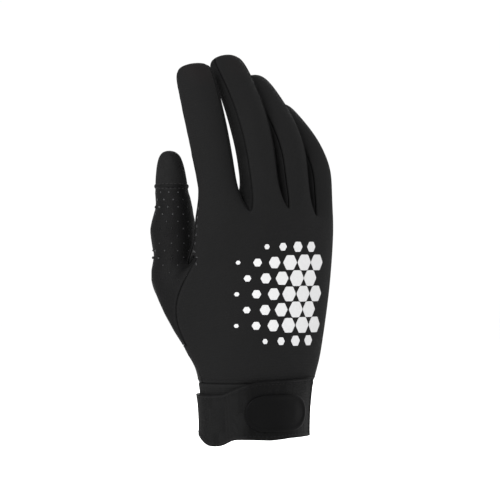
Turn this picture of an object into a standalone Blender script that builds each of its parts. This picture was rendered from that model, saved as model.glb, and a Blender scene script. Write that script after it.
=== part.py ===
"""A right-hand motocross glove, held open as a hand fills it, with its fingers up.

Metres, +Z from the cuff to the fingertips, -Y out of the back of the hand, +Y out of the palm,
-X to the thumb side and +X to the little finger. The origin is the middle of the mouth of the cuff.

One skin of the whole glove is drawn as a cage of rings and rounded by a subdivision. Each cut piece of
cloth or leather is the stretch of that skin between its seams, given its own thickness inwards.
"""

import math
from collections import namedtuple

import bmesh
import bpy
from mathutils import Matrix, Vector
from mathutils.bvhtree import BVHTree

# Driving sizes
FINGER_WIDTH = 0.0233
FINGER_DEPTH = 0.0238
FINGER_ROOM = 0.0082
HAND_DEPTH = 0.0275
PALM_LENGTH = 0.0990
KNUCKLE_ARCH = 0.0100
KNUCKLE_DRIFT = 0.0047
KNUCKLE_LIFT = 0.0115
WRIST_WIDTH = 0.0672
WRIST_DEPTH = 0.0456
CUFF_HEIGHT = 0.0340
MIDDLE_FINGER_LENGTH = 0.0920
THUMB_REACH = 0.0160
THUMB_HEIGHT = 0.1337
THUMB_WIDTH = 0.0192
WEB_RISE_MIDDLE = 0.0028
WEB_VALLEY_DEPTH = 0.0016
WEB_VALLEY_RISE = 0.0038
KNUCKLE_VALLEY_DEPTH = 0.0015
KNUCKLE_VALLEY_DROP = 0.0100
BACK_CLOTH = 0.0011
PALM_LEATHER = 0.0013
SIDE_CLOTH = 0.0010
CUFF_CLOTH = 0.0022
SEAM_GAP = 0.0004
WELT_WIDTH = 0.0014
WELT_SEAT = 0.0010
STRAP_THICKNESS = 0.0019
STRAP_CLEARANCE = 0.0005
STRAP_HEIGHT = 0.0335
STRAP_SEWN_ANGLE = 32.0
STRAP_FREE_ANGLE = 292.0
BADGE_WIDTH = 0.0400
BADGE_HEIGHT = 0.0212
BADGE_THICKNESS = 0.0012
PIECE_CLEARANCE = 0.0003

# How the skin is divided
SUBDIVISIONS = 1
COLUMNS = 9
RING_SWELL = 1.012
FINGER_SWELL = 1.075
THUMB_SWELL = 1.055
FINGER_SIDES = 8
THUMB_SIDES = 10
WRIST_STEP_DEG = 18.0
WRIST_SQUARENESS = 2.0
KNUCKLE_SQUARENESS = 2.6
PATH_STEPS = 80
WELT_SIDES = 6
# How far a sharp corner of a piece is drawn back from the seams, against a straight edge
MITRE_LIMIT = 3.0
MITRE_FLOOR = 0.05
SHARP_ANGLE = 50.0

BACK, PALM, SIDE_ONE, SIDE_TWO, SIDE_THREE, THUMB_BACK, THUMB_FRONT, THUMB_TIP, CUFF = range(9)
SIDES = (SIDE_ONE, SIDE_TWO, SIDE_THREE)

# Where the finger middles and the webs between them lie across the knuckles, as shares of half the width
PLACES = (-0.90, -0.674, -0.415, -0.166, 0.086, 0.297, 0.51, 0.715, 0.89)
# Height of the webs and finger roots, column by column, as shares of the palm's length
WEB_RISE = (-0.050, -0.012, 0.000, 0.020, 0.022, 0.012, -0.022, -0.040, -0.060)

# height: share of the cuff's height below the seam at 0, or of the palm's length above it
# broad, flat: 0 has the wrist's width and depth and 1 the knuckles'
# arch: share of the knuckles' arch and of their lift to the back
# drift: share of the knuckles' drift to the little finger
Row = namedtuple("Row", "height broad flat arch drift")
CUFF_ROWS = (
    Row(-1.00, 0.02, 0.00, 0.00, 0.00),
    Row(-0.50, 0.00, 0.00, 0.00, 0.00),
    Row(0.00, 0.30, 0.00, 0.02, 0.12),
)
PALM_ROWS = (
    Row(0.06, 0.42, 0.06, 0.07, 0.22),
    Row(0.14, 0.56, 0.22, 0.14, 0.38),
    Row(0.32, 0.71, 0.52, 0.32, 0.60),
    Row(0.52, 0.86, 0.70, 0.56, 0.84),
    Row(0.72, 0.97, 0.86, 0.80, 0.95),
    Row(0.86, 1.00, 0.97, 0.95, 1.00),
)
WEB_ROW = Row(1.00, 0.99, 1.02, 1.00, 1.00)

# The thumb's root lifts the edge of the hand on four palm rows. Shares of the thumb's reach:
# back_out and back_in move the column at the back's edge to the thumb side and towards the palm
Root = namedtuple("Root", "back_out back_in palm_out palm_in side_out side_in")
THUMB_ROOTS = {
    1: Root(0.36, 0.80, -0.10, 0.62, 0.06, 0.60),
    2: Root(0.72, 1.32, -0.26, 1.02, 0.00, 0.00),
    3: Root(0.78, 1.15, -0.30, 0.88, 0.00, 0.00),
    4: Root(0.14, 0.50, -0.24, 0.12, -0.05, 0.15),
}
THUMB_HOLE = (1, 4)
# How much of that lift reaches the neighbouring columns
ROOT_SPREAD_BACK = (1.0, 0.42, 0.10)
ROOT_SPREAD_PALM = (1.0, 0.66, 0.30)

# place, palmward and height of the ring's middle, its half width and half depth, and its lean outwards
# place is a share of half the hand's width, palmward and the halves of the thumb's width, height of its height
# twist turns the thumb's two seams from its inner and outer sides towards its back and its front
Ring = namedtuple("Ring", "place palmward height wide deep lean twist")
THUMB_RINGS = (
    Ring(-0.955, 1.19, 0.435, 0.74, 0.63, 32.0, 65.0),
    Ring(-0.835, 1.24, 0.560, 0.74, 0.62, 14.0, 54.0),
    Ring(-0.838, 1.30, 0.655, 0.73, 0.60, 6.0, 45.0),
    Ring(-0.838, 1.34, 0.760, 0.575, 0.56, 0.0, 40.0),
    Ring(-0.862, 1.36, 0.830, 0.495, 0.52, 0.0, 40.0),
    Ring(-0.867, 1.37, 0.905, 0.455, 0.49, 0.0, 40.0),
    Ring(-0.888, 1.37, 0.978, 0.320, 0.34, 0.0, 40.0),
)
THUMB_CAP_RING = 4

# length: share of the middle finger's; girth: share of the finger sizes; angles in degrees
# turn: the way the finger faces; spread: lean in the hand's plane, minus is to the thumb
Finger = namedtuple("Finger", "name length girth turn spread root_bend middle_bend tip_bend")
FINGERS = (
    Finger("index", 0.955, 1.01, -14.0, -8.0, 7.0, 5.0, 6.0),
    Finger("middle", 1.050, 1.00, -6.0, -5.4, 4.0, 19.0, 15.0),
    Finger("ring", 0.985, 0.93, 1.0, -3.5, 3.4, 30.5, 12.0),
    Finger("little", 0.846, 0.84, 10.0, -2.1, 1.0, 35.5, 10.0),
)
HAND_WIDTH = FINGER_WIDTH * sum(finger.girth for finger in FINGERS) + FINGER_ROOM
MIDDLE_JOINT = 0.36
TIP_JOINT = 0.66
JOINT_SPAN = 0.16

# along: share of the finger's length; wide, deep: shares of its girth; seam: half angle of the side strip
Station = namedtuple("Station", "along wide deep seam")
FINGER_STATIONS = (
    Station(0.11, 0.93, 0.99, 33.0),
    Station(0.23, 0.96, 0.99, 32.0),
    Station(0.34, 0.97, 1.01, 31.0),
    Station(0.47, 0.99, 1.00, 30.0),
    Station(0.61, 0.98, 0.96, 27.0),
    Station(0.77, 0.96, 0.91, 22.0),
    Station(0.91, 0.95, 0.86, 17.0),
    Station(0.975, 0.78, 0.66, 13.0),
)

# along: share of the strap from its sewn end; low, high: its edges, as shares of its height above the mouth
Edge = namedtuple("Edge", "along low high")
STRAP_EDGES = (
    Edge(0.000, 0.020, 1.02),
    Edge(0.150, 0.015, 1.01),
    Edge(0.210, 0.000, 1.01),
    Edge(0.275, -0.012, 1.00),
    Edge(0.340, 0.000, 1.00),
    Edge(0.400, 0.010, 0.95),
    Edge(0.450, 0.012, 0.86),
    Edge(0.480, -0.075, 0.78),
    Edge(0.500, -0.106, 0.77),
    Edge(0.545, -0.106, 0.76),
    Edge(0.590, 0.005, 0.76),
    Edge(0.620, 0.060, 0.76),
    Edge(1.000, 0.060, 0.75),
)
STRAP_COLUMNS = 44
STRAP_ROWS = 4
# The free end's rounding: a share of the strap's length, and the half height left at the very end, as a share
STRAP_END_ROUND = 0.085
STRAP_END_LEFT = 0.2
BADGE_ANGLE = 92.0
BADGE_MIDDLE = 0.45
BADGE_END_POINTS = 8
BADGE_SIDE_POINTS = 4
BADGE_STEPS = 40
# inset: share of the badge's half height in from its edge; lift: share of its thickness
BADGE_UNDERSIDE = ((0.80, 0.0), (0.40, 0.0), (0.00, 0.0))
BADGE_FACE = ((0.00, 0.75), (0.06, 1.00), (0.16, 1.00), (0.24, 0.50), (0.52, 0.50), (0.80, 0.50))

COLOURS = {
    "back_knit": ((0.020, 0.020, 0.021), 0.72),
    "palm_leather": ((0.015, 0.015, 0.016), 0.55),
    "side_knit": ((0.012, 0.012, 0.013), 0.78),
    "thumb_cap_knit": ((0.020, 0.020, 0.020), 0.66),
    "cuff_knit": ((0.017, 0.017, 0.018), 0.74),
    "strap_fabric": ((0.016, 0.016, 0.017), 0.60),
    "badge_rubber": ((0.010, 0.010, 0.011), 0.42),
}


def clear_scene():
    """Removes whatever the scene starts with."""
    for obj in list(bpy.data.objects):
        bpy.data.objects.remove(obj)


def mix(low, high, share):
    return low + (high - low) * share


def smooth(share):
    share = max(0.0, min(1.0, share))
    return share * share * (3.0 - 2.0 * share)


def material(slot):
    """The plain finish of one slot, made once."""
    found = bpy.data.materials.get(slot)
    if found:
        return found
    colour, roughness = COLOURS[slot]
    made = bpy.data.materials.new(slot)
    made.use_nodes = True
    shader = made.node_tree.nodes["Principled BSDF"]
    shader.inputs["Base Color"].default_value = (*colour, 1.0)
    shader.inputs["Roughness"].default_value = roughness
    shader.inputs["Metallic"].default_value = 0.0
    return made


def add_object(name, bm, slot):
    """Writes a bmesh to a named object with its own finish."""
    mesh = bpy.data.meshes.new(name)
    bm.to_mesh(mesh)
    bm.free()
    mesh.materials.clear()
    mesh.materials.append(material(slot))
    mesh.polygons.foreach_set("material_index", [0] * len(mesh.polygons))
    mesh.shade_smooth()
    mesh.set_sharp_from_angle(angle=math.radians(SHARP_ANGLE))
    obj = bpy.data.objects.new(name, mesh)
    bpy.context.scene.collection.objects.link(obj)
    return obj


# Rings of the hand

def row_height(row):
    if row.height <= 0.0:
        return CUFF_HEIGHT * (1.0 + row.height)
    return CUFF_HEIGHT + PALM_LENGTH * row.height


def row_point(row, share, side):
    """A point of a hand row: share runs from -1 at the thumb side to 1, side is -1 on the back and 1 on the palm."""
    half_width = mix(WRIST_WIDTH, HAND_WIDTH, row.broad) / 2.0 * RING_SWELL
    half_depth = mix(WRIST_DEPTH, HAND_DEPTH, row.flat) / 2.0 * RING_SWELL
    square = mix(WRIST_SQUARENESS, KNUCKLE_SQUARENESS, row.arch)
    depth = half_depth * max(0.0, 1.0 - abs(share) ** square) ** (1.0 / square)
    x = KNUCKLE_DRIFT * row.drift + half_width * share
    y = -KNUCKLE_LIFT * row.arch + KNUCKLE_ARCH * row.arch * share * share + side * depth
    return Vector((x, y, row_height(row)))


def column_share(row, column):
    """How far across the hand a column lies: even angles at the wrist, finger by finger at the knuckles."""
    middle = (COLUMNS - 1) / 2.0
    at_wrist = math.sin(math.radians((column - middle) * WRIST_STEP_DEG))
    return mix(at_wrist, PLACES[column], row.arch)


def hand_ring(row):
    """One closed row: the back's columns, the little-finger side, the palm's columns and the thumb side."""
    back = [row_point(row, column_share(row, j), -1.0) for j in range(COLUMNS)]
    palm = [row_point(row, column_share(row, j), 1.0) for j in range(COLUMNS)]
    return {"back": back, "palm": palm, "thumb": row_point(row, -1.0, 0.0), "little": row_point(row, 1.0, 0.0)}


def lift_thumb_root(ring, root):
    """Draws the thumb edge of a palm row out to the thumb's root and round its ball."""
    for spread, column in zip(ROOT_SPREAD_BACK, range(len(ROOT_SPREAD_BACK))):
        ring["back"][column] += Vector((-root.back_out, root.back_in, 0.0)) * THUMB_REACH * spread
    for spread, column in zip(ROOT_SPREAD_PALM, range(len(ROOT_SPREAD_PALM))):
        ring["palm"][column] += Vector((-root.palm_out, root.palm_in, 0.0)) * THUMB_REACH * spread
    ring["thumb"] += Vector((-root.side_out, root.side_in, 0.0)) * THUMB_REACH


def web_ring():
    """The row at the finger roots, with a valley in the back at each web and a middle point in each web."""
    ring = hand_ring(WEB_ROW)
    webs = {}
    for column in range(COLUMNS):
        rise = Vector((0.0, 0.0, WEB_RISE[column] * PALM_LENGTH))
        ring["back"][column] += rise
        ring["palm"][column] += rise
        if column % 2 == 0 and 0 < column < COLUMNS - 1:
            middle = (ring["back"][column] + ring["palm"][column]) / 2.0
            webs[column] = middle + Vector((0.0, 0.0, WEB_RISE_MIDDLE))
            ring["back"][column] += Vector((0.0, KNUCKLE_VALLEY_DEPTH, -KNUCKLE_VALLEY_DROP))
            ring["palm"][column] += Vector((0.0, -WEB_VALLEY_DEPTH, WEB_VALLEY_RISE))
    ring["thumb"].z += WEB_RISE[0] * PALM_LENGTH
    ring["little"].z += WEB_RISE[-1] * PALM_LENGTH
    return ring, webs


# Fingers and thumb

def finger_axes(finger, bend):
    """The finger's way across, out of its back and along, at a bend in degrees from straight up."""
    turn = math.radians(finger.turn)
    spread = math.radians(finger.spread)
    side = Vector((math.cos(turn), math.sin(turn), 0.0))
    back = Vector((math.sin(turn), -math.cos(turn), 0.0))
    up = Vector((0.0, 0.0, 1.0))
    straight = up * math.cos(spread) + side * math.sin(spread)
    across = side * math.cos(spread) - up * math.sin(spread)
    bend = math.radians(bend)
    along = straight * math.cos(bend) - back * math.sin(bend)
    out = back * math.cos(bend) + straight * math.sin(bend)
    return across, out, along


def finger_bend(finger, along):
    """The bend at a share of the finger's length, eased over each joint."""
    middle = smooth((along - MIDDLE_JOINT) / JOINT_SPAN + 0.5)
    tip = smooth((along - TIP_JOINT) / JOINT_SPAN + 0.5)
    return finger.root_bend + finger.middle_bend * middle + finger.tip_bend * tip


def finger_path(finger, root):
    """Points on the finger's middle line, from its root, at even shares of its length."""
    step = finger.length * MIDDLE_FINGER_LENGTH / PATH_STEPS
    points = [root.copy()]
    for k in range(PATH_STEPS):
        along = finger_axes(finger, finger_bend(finger, (k + 0.5) / PATH_STEPS))[2]
        points.append(points[-1] + along * step)
    return points


def finger_ring(finger, path, station):
    """Eight points round the finger, from the thumb side of its back round to its thumb side."""
    middle = path[round(station.along * PATH_STEPS)]
    across, out, _ = finger_axes(finger, finger_bend(finger, station.along))
    half_width = FINGER_WIDTH / 2.0 * finger.girth * station.wide * FINGER_SWELL
    half_depth = FINGER_DEPTH / 2.0 * finger.girth * station.deep * FINGER_SWELL
    corner = 90.0 - station.seam
    angles = (-corner, 0.0, corner, 90.0, 180.0 - corner, 180.0, 180.0 + corner, 270.0)
    ring = []
    for angle in map(math.radians, angles):
        ring.append(middle + across * half_width * math.sin(angle) + out * half_depth * math.cos(angle))
    return ring


def thumb_ring(ring):
    """Ten points round the thumb, from its side by the hand, over its back, its outer side and its front."""
    middle = Vector((
        ring.place * HAND_WIDTH / 2.0,
        ring.palmward * THUMB_WIDTH,
        CUFF_HEIGHT + ring.height * THUMB_HEIGHT,
    ))
    lean = Matrix.Rotation(math.radians(-ring.lean), 3, "Y")
    points = []
    for k in range(THUMB_SIDES):
        angle = 2.0 * math.pi * k / THUMB_SIDES + math.radians(ring.twist)
        inwards = math.cos(angle) * ring.wide * THUMB_WIDTH * THUMB_SWELL
        backwards = math.sin(angle) * ring.deep * THUMB_WIDTH * THUMB_SWELL
        points.append(middle + lean @ Vector((inwards, -backwards, 0.0)))
    return points


# The skin

def verts_of(bm, points):
    return [bm.verts.new(point) for point in points]


def join_rings(bm, lower, upper, pieces):
    """Quads from one closed ring to the next; pieces names the cut piece of each."""
    count = len(lower)
    for k in range(count):
        after = (k + 1) % count
        face = bm.faces.new((lower[k], lower[after], upper[after], upper[k]))
        face.material_index = pieces[k]


def close_ring(bm, ring, tip, pieces, first):
    """Quads from every second corner of a ring to its tip."""
    count = len(ring)
    for k in range(0, count, 2):
        corners = [ring[(first + k + n) % count] for n in range(3)]
        face = bm.faces.new((corners[0], corners[1], corners[2], tip))
        face.material_index = pieces[k // 2]


def hand_rows(bm):
    """Vertices of every hand row from the mouth of the cuff to the finger roots."""
    rows = [hand_ring(row) for row in (*CUFF_ROWS, *PALM_ROWS)]
    for index, root in THUMB_ROOTS.items():
        lift_thumb_root(rows[len(CUFF_ROWS) + index], root)
    top, webs = web_ring()
    made = []
    for ring in (*rows, top):
        made.append({
            "back": verts_of(bm, ring["back"]),
            "palm": verts_of(bm, ring["palm"]),
            "thumb": bm.verts.new(ring["thumb"]),
            "little": bm.verts.new(ring["little"]),
        })
    return made, {column: bm.verts.new(point) for column, point in webs.items()}


def closed(ring):
    """A hand row's vertices in order round the hand."""
    return [*ring["back"], ring["little"], *reversed(ring["palm"]), ring["thumb"]]


def skin_hand(bm, rows):
    """Joins the hand's rows, leaving the hole that the thumb grows from."""
    last = COLUMNS - 1
    over_back = [BACK] * last + [BACK] + [PALM] + [PALM] * last + [PALM] + [BACK]
    hole = range(len(CUFF_ROWS) + THUMB_HOLE[0], len(CUFF_ROWS) + THUMB_HOLE[1])
    for index, (lower, upper) in enumerate(zip(rows, rows[1:])):
        ring, above = closed(lower), closed(upper)
        for k in range(len(ring)):
            after = (k + 1) % len(ring)
            if index in hole and k >= len(ring) - 2:
                continue
            face = bm.faces.new((ring[k], ring[after], above[after], above[k]))
            face.material_index = CUFF if index < len(CUFF_ROWS) - 1 else over_back[k]
    for index in hole[1:]:
        bm.verts.remove(rows[index]["thumb"])


def skin_finger(bm, number, finger, top, webs):
    """One finger from its root on the web row to its closed tip."""
    left, right = 2 * number, 2 * number + 2
    base = [
        top["back"][left], top["back"][left + 1], top["back"][right],
        webs.get(right, top["little"]),
        top["palm"][right], top["palm"][left + 1], top["palm"][left],
        webs.get(left, top["thumb"]),
    ]
    root = (top["back"][left + 1].co + top["palm"][left + 1].co) / 2.0
    path = finger_path(finger, root)
    thumb_side = (PALM, BACK) if number == 0 else (SIDES[number - 1],) * 2
    little_side = (BACK, PALM) if number == len(FINGERS) - 1 else (SIDES[number],) * 2
    pieces = (BACK, BACK, *little_side, PALM, PALM, *thumb_side)
    lower = base
    for station in FINGER_STATIONS:
        upper = verts_of(bm, finger_ring(finger, path, station))
        join_rings(bm, lower, upper, pieces)
        lower = upper
    tip = bm.verts.new(path[-1])
    close_ring(bm, lower, tip, (BACK, BACK, PALM, PALM), FINGER_SIDES - 1)


def skin_thumb(bm, rows):
    """The thumb, from the hole in the hand's edge to its closed tip."""
    low, high = (len(CUFF_ROWS) + index for index in THUMB_HOLE)
    base = [rows[high]["thumb"]]
    base += [rows[index]["back"][0] for index in range(high, low - 1, -1)]
    base += [rows[low]["thumb"]]
    base += [rows[index]["palm"][0] for index in range(low, high + 1)]
    half = THUMB_SIDES // 2
    lower = base
    for index, ring in enumerate(THUMB_RINGS):
        upper = verts_of(bm, thumb_ring(ring))
        leather = (THUMB_BACK,) * half + (THUMB_FRONT,) * half
        pieces = (THUMB_TIP,) * THUMB_SIDES if index > THUMB_CAP_RING else leather
        join_rings(bm, upper, lower, pieces)
        lower = upper
    last = THUMB_RINGS[-1]
    tip = bm.verts.new((
        last.place * HAND_WIDTH / 2.0,
        last.palmward * THUMB_WIDTH,
        CUFF_HEIGHT + THUMB_HEIGHT,
    ))
    close_ring(bm, list(reversed(lower)), tip, (THUMB_TIP,) * half, 0)


def make_skin():
    """The whole glove's outer surface, rounded, with each face marked with its cut piece."""
    bm = bmesh.new()
    rows, webs = hand_rows(bm)
    skin_hand(bm, rows)
    for number, finger in enumerate(FINGERS):
        skin_finger(bm, number, finger, rows[-1], webs)
    skin_thumb(bm, rows)
    bmesh.ops.recalc_face_normals(bm, faces=bm.faces)
    mesh = bpy.data.meshes.new("skin_cage")
    bm.to_mesh(mesh)
    bm.free()
    for _ in range(CUFF + 1):
        mesh.materials.append(None)
    cage = bpy.data.objects.new("skin_cage", mesh)
    bpy.context.scene.collection.objects.link(cage)
    rounding = cage.modifiers.new("rounding", "SUBSURF")
    rounding.levels = rounding.render_levels = SUBDIVISIONS
    bpy.context.view_layer.update()
    graph = bpy.context.evaluated_depsgraph_get()
    skin = bpy.data.meshes.new_from_object(cage.evaluated_get(graph))
    bpy.data.objects.remove(cage)
    return skin


def seam_move(vert):
    """The way from a seam point into its own piece that draws both of its seam edges back by one unit."""
    ways = []
    for edge in vert.link_edges:
        if edge.is_boundary:
            along = (edge.other_vert(vert).co - vert.co).normalized()
            middle = edge.link_faces[0].calc_center_median() - vert.co
            ways.append((middle - along * middle.dot(along)).normalized())
    move = (ways[0] + ways[1]) / max(1.0 + ways[0].dot(ways[1]), MITRE_FLOOR)
    return move * min(1.0, MITRE_LIMIT / move.length)


def cut_piece(name, skin, piece, wall, slot):
    """One cut piece of the skin: its edges drawn back from the seams, and its wall taken inwards."""
    bm = bmesh.new()
    bm.from_mesh(skin)
    bm.verts.ensure_lookup_table()
    facing = bm.verts.layers.float_vector.new("facing")
    by_welt = bm.verts.layers.int.new("by_welt")
    for vert in bm.verts:
        vert[facing] = vert.normal
    for index in welt_loop(skin):
        bm.verts[index][by_welt] = 1
    others = [face for face in bm.faces if face.material_index != piece]
    bmesh.ops.delete(bm, geom=others, context="FACES")
    moves = {}
    for vert in bm.verts:
        if vert.is_boundary:
            moves[vert] = seam_move(vert) * (WELT_SEAT if vert[by_welt] else SEAM_GAP / 2.0)
    for vert, move in moves.items():
        vert.co += move
    walls = bmesh.ops.extrude_face_region(bm, geom=bm.faces[:])
    for vert in walls["geom"]:
        if isinstance(vert, bmesh.types.BMVert):
            vert.co -= vert[facing] * wall
    bmesh.ops.recalc_face_normals(bm, faces=bm.faces)
    return add_object(name, bm, slot)


# Pieces laid over the skin

def skin_tree(skin):
    """A tree of the skin's faces, to find its surface with."""
    return BVHTree.FromPolygons([v.co for v in skin.vertices], [p.vertices for p in skin.polygons])


def wrist_point(tree, angle, height, stand_off):
    """A point over the cuff at an angle from the little-finger side, counted over the back of the hand."""
    level = max(height, STRAP_CLEARANCE)
    outwards = Vector((math.cos(math.radians(angle)), -math.sin(math.radians(angle)), 0.0))
    surface, facing, _, _ = tree.ray_cast(Vector((0.0, 0.0, level)), outwards)
    facing = Vector((facing.x, facing.y, 0.0)).normalized()
    return Vector((surface.x, surface.y, height)) + facing * stand_off


def wrist_angles(tree, start, count, span):
    """Angles round the cuff at even steps of length, from a start angle and over a span in metres."""
    angles = [start]
    step = span / count
    for _ in range(count):
        here = wrist_point(tree, angles[-1], CUFF_HEIGHT / 2.0, 0.0)
        ahead = wrist_point(tree, angles[-1] + math.copysign(1.0, step), CUFF_HEIGHT / 2.0, 0.0)
        angles.append(angles[-1] + step / (ahead - here).length)
    return angles


def strap_edges(along):
    """The strap's low and high edge at a share of its length, as heights, rounded in at its free end."""
    after = next((k for k, edge in enumerate(STRAP_EDGES) if edge.along >= along), len(STRAP_EDGES) - 1)
    after = max(after, 1)
    first, last = STRAP_EDGES[after - 1], STRAP_EDGES[after]
    share = smooth((along - first.along) / (last.along - first.along))
    low = mix(first.low, last.low, share) * STRAP_HEIGHT
    high = mix(first.high, last.high, share) * STRAP_HEIGHT
    left = (1.0 - along) / STRAP_END_ROUND
    if left < 1.0:
        half = (high - low) / 2.0 * max(STRAP_END_LEFT, math.sqrt(1.0 - (1.0 - left) ** 2))
        middle = (high + low) / 2.0
        low, high = middle - half, middle + half
    return low, high


def make_strap(tree):
    """The closing strap: sewn by the little-finger side, over the back of the wrist, round to the palm."""
    bm = bmesh.new()
    columns = []
    for k in range(STRAP_COLUMNS + 1):
        along = k / STRAP_COLUMNS
        low, high = strap_edges(along)
        angle = mix(STRAP_SEWN_ANGLE, STRAP_FREE_ANGLE, along)
        heights = [mix(low, high, n / STRAP_ROWS) for n in range(STRAP_ROWS + 1)]
        inner = [wrist_point(tree, angle, z, STRAP_CLEARANCE) for z in heights]
        outer = [wrist_point(tree, angle, z, STRAP_CLEARANCE + STRAP_THICKNESS) for z in reversed(heights)]
        columns.append(verts_of(bm, inner + outer))
    for first, last in zip(columns, columns[1:]):
        join_rings(bm, first, last, [0] * len(first))
    for ring in (columns[0], columns[-1]):
        for n in range(STRAP_ROWS):
            bm.faces.new((ring[n], ring[n + 1], ring[-2 - n], ring[-1 - n]))
    bmesh.ops.recalc_face_normals(bm, faces=bm.faces)
    return add_object("wrist_strap", bm, "strap_fabric")


def badge_outline(inset):
    """Points round the badge's edge, drawn in by a share of its half height, as across and up from its middle."""
    end = BADGE_HEIGHT / 2.0 * (1.0 - inset)
    straight = (BADGE_WIDTH - BADGE_HEIGHT) / 2.0
    points = []
    for sign in (1.0, -1.0):
        for k in range(BADGE_END_POINTS + 1):
            turn = math.pi * (k / BADGE_END_POINTS - 0.5)
            points.append((sign * (straight + end * math.cos(turn)), sign * end * math.sin(turn)))
        for k in range(1, BADGE_SIDE_POINTS):
            points.append((sign * straight * (1.0 - 2.0 * k / BADGE_SIDE_POINTS), sign * end))
    return points


def make_badge(tree):
    """The blank rubber badge on the strap: a long rounded plate with a raised rim."""
    bm = bmesh.new()
    seat = STRAP_CLEARANCE + STRAP_THICKNESS + PIECE_CLEARANCE
    middle = BADGE_MIDDLE * STRAP_HEIGHT
    reach = BADGE_WIDTH / 2.0
    to_thumb = wrist_angles(tree, BADGE_ANGLE, BADGE_STEPS, reach)
    to_little = wrist_angles(tree, BADGE_ANGLE, BADGE_STEPS, -reach)
    rings = []
    for inset, lift in (*BADGE_UNDERSIDE, *BADGE_FACE):
        ring = []
        for across, up in badge_outline(inset):
            angles = to_little if across > 0.0 else to_thumb
            place = min(abs(across) / reach, 1.0) * BADGE_STEPS
            first = min(int(place), BADGE_STEPS - 1)
            angle = mix(angles[first], angles[first + 1], place - first)
            ring.append(wrist_point(tree, angle, middle + up, seat + BADGE_THICKNESS * lift))
        rings.append(verts_of(bm, ring))
    for lower, upper in zip(rings, rings[1:]):
        join_rings(bm, lower, upper, [0] * len(lower))
    for ring in (rings[0], rings[-1]):
        close_long_ring(bm, ring)
    bmesh.ops.recalc_face_normals(bm, faces=bm.faces)
    return add_object("strap_badge", bm, "badge_rubber")


def close_long_ring(bm, ring):
    """Fills the badge's innermost ring with quads from its upper edge to its lower edge."""
    half = len(ring) // 2
    first = BADGE_END_POINTS
    top = [ring[(first + k) % len(ring)] for k in range(BADGE_SIDE_POINTS + 1)]
    low = [ring[(first + k + half) % len(ring)] for k in range(BADGE_SIDE_POINTS + 1)]
    low.reverse()
    for k in range(BADGE_SIDE_POINTS):
        bm.faces.new((top[k], top[k + 1], low[k + 1], low[k]))
    for start in (0, half):
        end = [ring[(start + k) % len(ring)] for k in range(BADGE_END_POINTS + 1)]
        for k in range(BADGE_END_POINTS // 2):
            corners = [end[k], end[k + 1], end[-2 - k], end[-1 - k]]
            bm.faces.new(corners if corners[1] != corners[2] else corners[:2] + corners[3:])


def welt_loop(skin):
    """The skin's points along the seam between the thumb's leather and its cap, in order round the thumb."""
    pieces = {}
    for polygon in skin.polygons:
        for key in polygon.edge_keys:
            pieces.setdefault(key, set()).add(polygon.material_index)
    links = {}
    for (first, last), touched in pieces.items():
        if THUMB_TIP in touched and len(touched) > 1:
            links.setdefault(first, []).append(last)
            links.setdefault(last, []).append(first)
    loop = [min(links)]
    while len(loop) < len(links):
        loop.append(next(index for index in links[loop[-1]] if index not in loop[-2:]))
    return loop


def make_welt(skin):
    """The folded edge of the thumb's leather, a cord that stands in the seam where the cap is sewn on."""
    radius = WELT_WIDTH / 2.0
    bm = bmesh.new()
    rings = []
    up = Vector((0.0, 0.0, 1.0))
    for index in welt_loop(skin):
        vert = skin.vertices[index]
        outwards = (vert.normal - up * vert.normal.z).normalized()
        section = []
        for n in range(WELT_SIDES):
            turn = 2.0 * math.pi * n / WELT_SIDES
            section.append(vert.co + outwards * radius * math.cos(turn) + up * radius * math.sin(turn))
        rings.append(verts_of(bm, section))
    for lower, upper in zip(rings, rings[1:] + rings[:1]):
        join_rings(bm, lower, upper, [0] * WELT_SIDES)
    bmesh.ops.recalc_face_normals(bm, faces=bm.faces)
    return add_object("thumb_welt", bm, "palm_leather")


def main():
    clear_scene()
    skin = make_skin()
    cut_piece("back_panel", skin, BACK, BACK_CLOTH, "back_knit")
    cut_piece("palm_panel", skin, PALM, PALM_LEATHER, "palm_leather")
    cut_piece("side_index_middle", skin, SIDE_ONE, SIDE_CLOTH, "side_knit")
    cut_piece("side_middle_ring", skin, SIDE_TWO, SIDE_CLOTH, "side_knit")
    cut_piece("side_ring_little", skin, SIDE_THREE, SIDE_CLOTH, "side_knit")
    cut_piece("thumb_back", skin, THUMB_BACK, PALM_LEATHER, "palm_leather")
    cut_piece("thumb_front", skin, THUMB_FRONT, PALM_LEATHER, "palm_leather")
    cut_piece("thumb_cap", skin, THUMB_TIP, BACK_CLOTH, "thumb_cap_knit")
    cut_piece("cuff_band", skin, CUFF, CUFF_CLOTH, "cuff_knit")
    make_welt(skin)
    tree = skin_tree(skin)
    make_strap(tree)
    make_badge(tree)
    bpy.data.meshes.remove(skin)


main()
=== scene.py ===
"""Looks of a right-hand motocross glove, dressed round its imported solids.

Metres, +Z from the cuff to the fingertips, -Y out of the back of the hand, -X to the thumb side. Each cut
piece of cloth or leather starts as a merged copy of its solid, is rounded and folded, and gets its own weave.
Stitches, the printed back, the pinholes of the thumb and the strap's binding are modelled over those pieces.
"""

from __future__ import annotations

import logging
import math
from collections.abc import Callable, Sequence
from dataclasses import dataclass, field
from enum import IntEnum
from typing import NamedTuple

import bmesh
import bpy
from mathutils import Matrix, Vector, noise
from mathutils.bvhtree import BVHTree


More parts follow.
